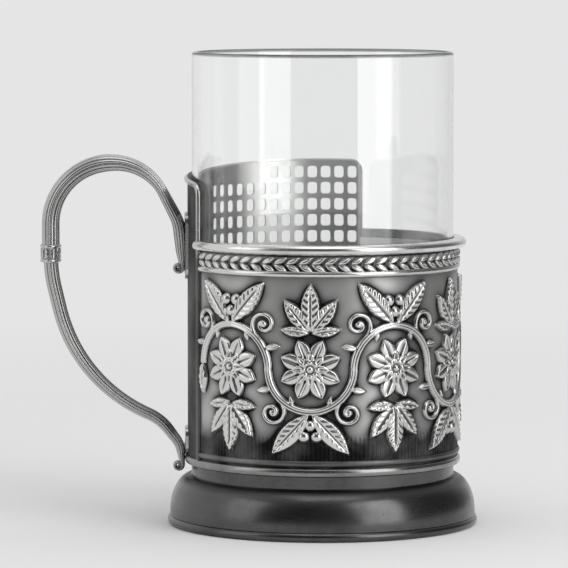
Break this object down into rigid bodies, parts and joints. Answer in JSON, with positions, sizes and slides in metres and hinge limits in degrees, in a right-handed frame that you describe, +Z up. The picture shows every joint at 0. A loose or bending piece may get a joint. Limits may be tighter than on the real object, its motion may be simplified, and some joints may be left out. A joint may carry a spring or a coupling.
{
  "type": "podstakannik tea glass holder",
  "caption": "Metal tea glass holder with a looped handle, embossed front, pierced heat guard and domed foot, carrying a straight clear glass that lifts out.",
  "frame": {"origin": "on the cup's axis, in the plane that the foot stands on", "axes": "+Z up along the cup's axis, -X towards the handle, -Y towards the embossed front"},
  "size_m": [0.1123, 0.0796, 0.1211],
  "materials": {
    "antique_nickel": "polished nickel plate with blackened recesses",
    "polished_nickel": "polished nickel plate",
    "dark_nickel": "dark polished nickel plate",
    "handle_nickel": "reeded nickel plate, dark in the grooves",
    "plain_nickel": "satin nickel plate",
    "clear_glass": "clear polished glass"
  },
  "bodies": {
    "holder": {"base_ring": "dark_nickel", "foot_shell": "dark_nickel", "seat_plate": "plain_nickel", "relief_panel": "antique_nickel", "guard_panel": "polished_nickel", "guard_edging": "polished_nickel", "top_rim_ring": "polished_nickel", "lower_ring": "polished_nickel", "handle_bow": "handle_nickel", "handle_collar": "handle_nickel", "handle_stem": "handle_nickel", "upper_saddle": "handle_nickel", "lower_saddle": "handle_nickel", "upper_rivets": "plain_nickel", "lower_rivet": "plain_nickel"},
    "glass": {"tea_glass": "clear_glass"}
  },
  "joints": [
    {"name": "glass_lift", "type": "slide", "parent": "holder", "child": "glass", "axis": [0, 0, 1], "range_m": [0, 0.09]}
  ]
}
